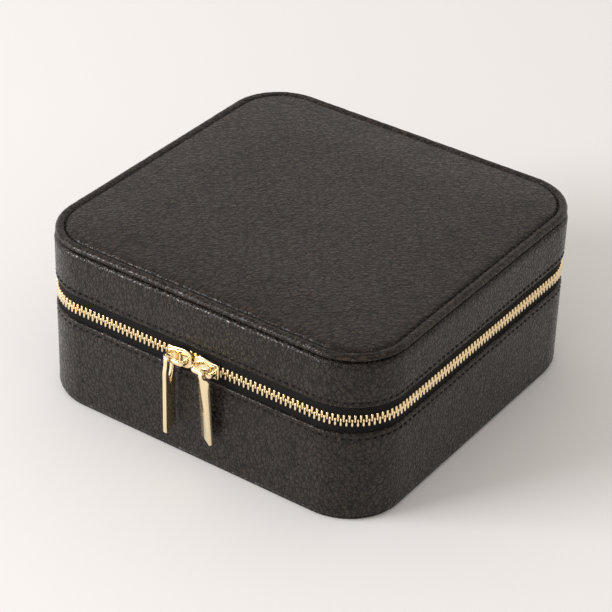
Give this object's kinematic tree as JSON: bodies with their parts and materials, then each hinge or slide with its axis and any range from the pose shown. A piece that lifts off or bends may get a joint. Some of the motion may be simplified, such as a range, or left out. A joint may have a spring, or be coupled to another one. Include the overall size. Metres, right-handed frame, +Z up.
{
  "type": "jewellery case",
  "caption": "Square zip-around jewellery case in pebbled black leather, rounded corners, hinged padded lid, gold metal zip with long pulls.",
  "frame": {"origin": "centre of the underside, on the surface that the case stands on", "axes": "+Z up; -Y is the front, where the two zip sliders meet; +X is the right-hand side seen from the front; the lid's hinge is along the back, at +Y"},
  "size_m": [0.19, 0.1951, 0.0894],
  "materials": {
    "leather": "pebbled black leather with a soft satin sheen",
    "suede": "brushed microfibre suede lining",
    "board": "dense grey stiffening board",
    "foam": "thin soft polyurethane foam sheet",
    "zip_tape": "black woven zip tape",
    "gold_metal": "polished pale gold plating",
    "mirror": "silvered flat glass"
  },
  "bodies": {
    "base": {"base_bottom_leather": "leather", "base_floor_board": "board", "base_wall_board": "board", "base_wall_leather": "leather", "base_wall_lining": "suede", "base_floor_foam": "foam", "base_floor_lining": "suede", "divider_long": "suede", "divider_cross_left": "suede", "divider_cross_right": "suede", "divider_short": "suede", "ring_roll_1": "suede", "ring_roll_2": "suede", "ring_roll_3": "suede", "ring_roll_4": "suede", "ring_roll_5": "suede", "ring_roll_6": "suede", "ring_roll_7": "suede", "lower_zip_tape": "zip_tape", "lower_teeth_row": "gold_metal", "zip_end_stop_left": "gold_metal", "zip_end_stop_right": "gold_metal", "hinge_gusset_leather": "leather", "hinge_gusset_lining": "suede"},
    "lid": {"lid_wall_leather": "leather", "lid_wall_board": "board", "lid_wall_lining": "suede", "lid_top_board": "board", "lid_top_foam": "foam", "lid_top_leather": "leather", "lid_lining_pad": "suede", "mirror_glass": "mirror", "mirror_frame": "suede", "upper_zip_tape": "zip_tape", "upper_teeth_row": "gold_metal"},
    "slider_left": {"slider_left_body": "gold_metal", "slider_left_bridge": "gold_metal"},
    "slider_right": {"slider_right_body": "gold_metal", "slider_right_bridge": "gold_metal"},
    "pull_left": {"pull_left_tab": "gold_metal"},
    "pull_right": {"pull_right_tab": "gold_metal"}
  },
  "joints": [
    {"name": "lid_hinge", "type": "hinge", "parent": "base", "child": "lid", "pos_m": [0, 0.0914, 0.0545], "axis": [-1, 0, 0], "range_deg": [0, 105], "deforming": ["hinge_gusset_leather", "hinge_gusset_lining"]},
    {"name": "slider_left_travel", "type": "slide", "parent": "base", "child": "slider_left", "axis": [-1, 0, 0], "range_m": [0, 0.053], "deforming": ["lower_teeth_row", "upper_teeth_row"]},
    {"name": "slider_right_travel", "type": "slide", "parent": "base", "child": "slider_right", "axis": [1, 0, 0], "range_m": [0, 0.051], "deforming": ["lower_teeth_row", "upper_teeth_row"]},
    {"name": "pull_left_swing", "type": "hinge", "parent": "slider_left", "child": "pull_left", "pos_m": [-0.0089, -0.0986, 0.0545], "axis": [-1, 0, 0], "range_deg": [0, 170]},
    {"name": "pull_right_swing", "type": "hinge", "parent": "slider_right", "child": "pull_right", "pos_m": [0.0106, -0.0986, 0.0545], "axis": [-1, 0, 0], "range_deg": [0, 170]}
  ]
}
